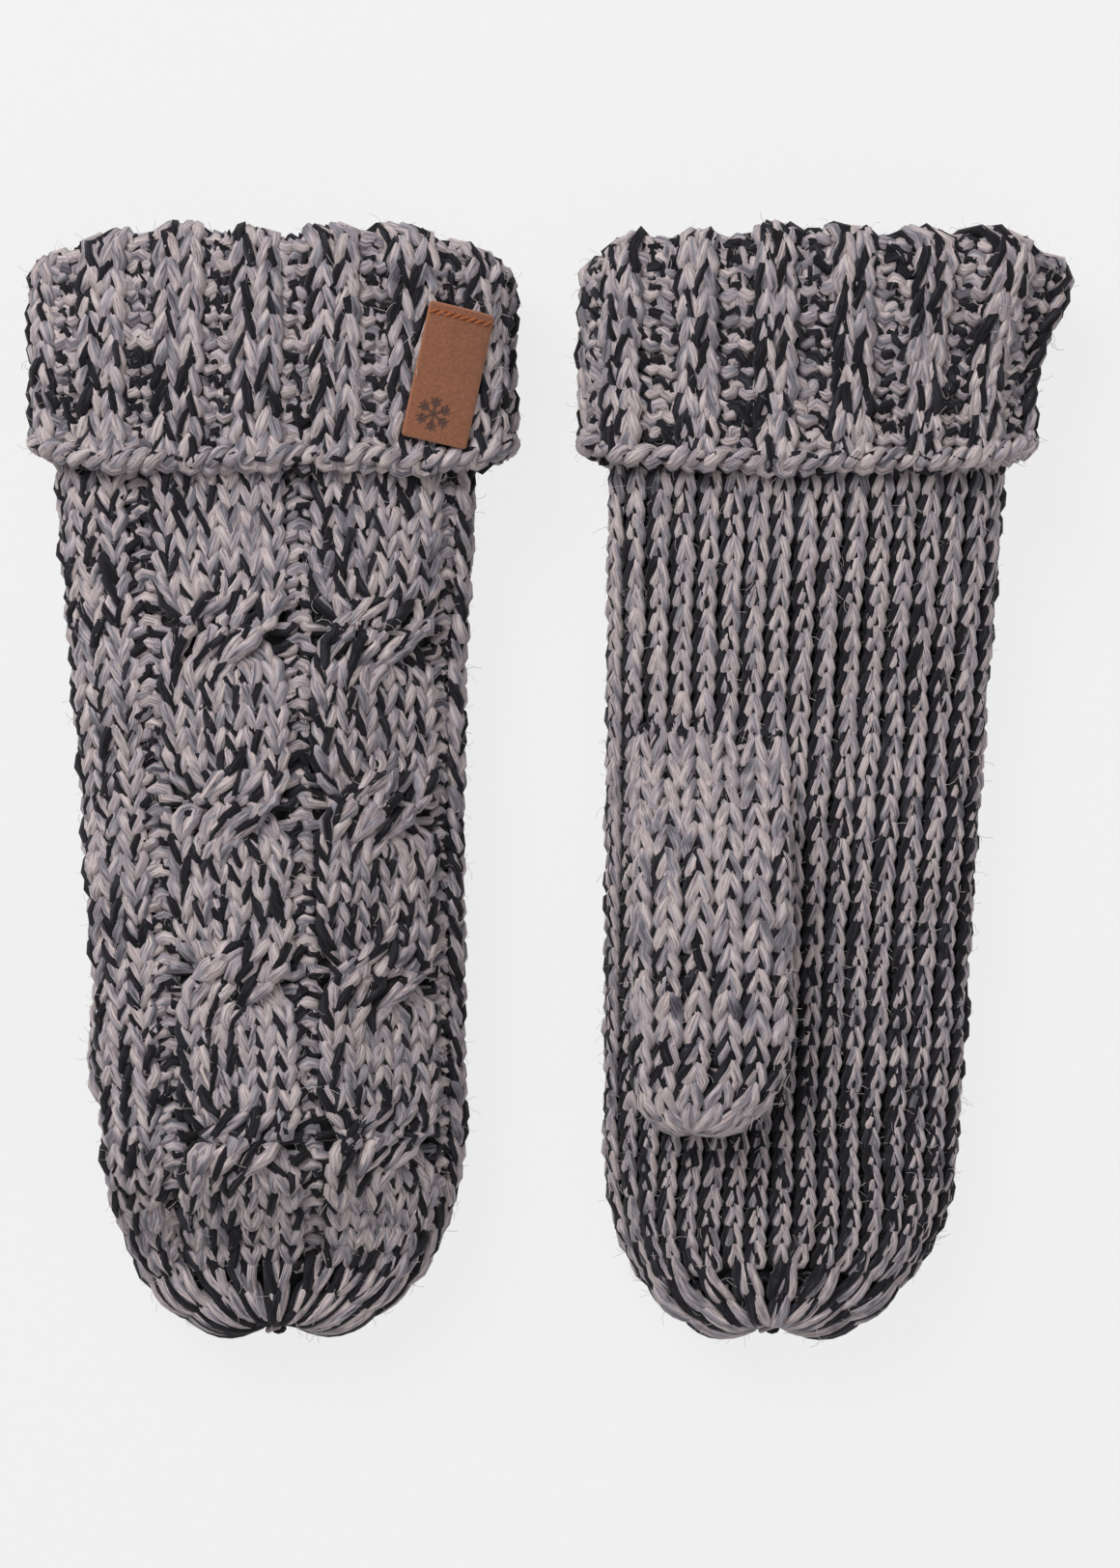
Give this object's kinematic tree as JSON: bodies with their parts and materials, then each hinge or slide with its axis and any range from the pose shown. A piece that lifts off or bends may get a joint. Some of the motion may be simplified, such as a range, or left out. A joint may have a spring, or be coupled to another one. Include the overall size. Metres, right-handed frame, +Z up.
{
  "type": "knitted mittens",
  "caption": "Chunky marled knit mittens with ribbed turned-up cuffs, cabled backs, fleece linings and a leather label, lying flat.",
  "frame": {"origin": "on the surface the pair lies on, under the middle of the pair", "axes": "+X to the right mitten, +Y towards the cuffs, +Z up, with the fingertips towards -Y"},
  "size_m": [0.231, 0.2498, 0.0435],
  "materials": {
    "marled_knit": "chunky two-ply yarn, pale grey with a dark ply, plain and cabled",
    "marled_rib": "the same yarn in a deep rib",
    "fleece": "short-piled charcoal fleece",
    "marled_yarn": "a single run of the same yarn",
    "sewing_thread": "dark polyester thread",
    "tan_leather": "matt tan leather with a debossed snow crystal",
    "label_thread": "rust-brown thread"
  },
  "bodies": {
    "left_mitten": {"left_hand_shell": "marled_knit", "left_cuff": "marled_rib", "left_hand_lining": "fleece", "left_tip_gather": "marled_yarn", "left_side_seam": "marled_yarn", "left_hem_stitches": "sewing_thread", "leather_label": "tan_leather", "label_stitches": "label_thread"},
    "left_thumb": {"left_thumb_shell": "marled_knit", "left_thumb_lining": "fleece", "left_thumb_gather": "marled_yarn", "left_thumb_seam": "marled_yarn"},
    "right_mitten": {"right_hand_shell": "marled_knit", "right_cuff": "marled_rib", "right_hand_lining": "fleece", "right_tip_gather": "marled_yarn", "right_side_seam": "marled_yarn", "right_hem_stitches": "sewing_thread"},
    "right_thumb": {"right_thumb_shell": "marled_knit", "right_thumb_lining": "fleece", "right_thumb_gather": "marled_yarn", "right_thumb_seam": "marled_yarn"}
  },
  "joints": [
    {"name": "right_mitten_lift", "type": "slide", "parent": "left_mitten", "child": "right_mitten", "axis": [0, 0, 1], "range_m": [0, 0.1]},
    {"name": "left_thumb_swing", "type": "hinge", "parent": "left_mitten", "child": "left_thumb", "pos_m": [-0.07985, -0.005, 0], "axis": [0, 0, -1], "range_deg": [0, 40]},
    {"name": "right_thumb_swing", "type": "hinge", "parent": "right_mitten", "child": "right_thumb", "pos_m": [0.03608, -0.005, 0], "axis": [0, 0, -1], "range_deg": [0, 48]}
  ]
}
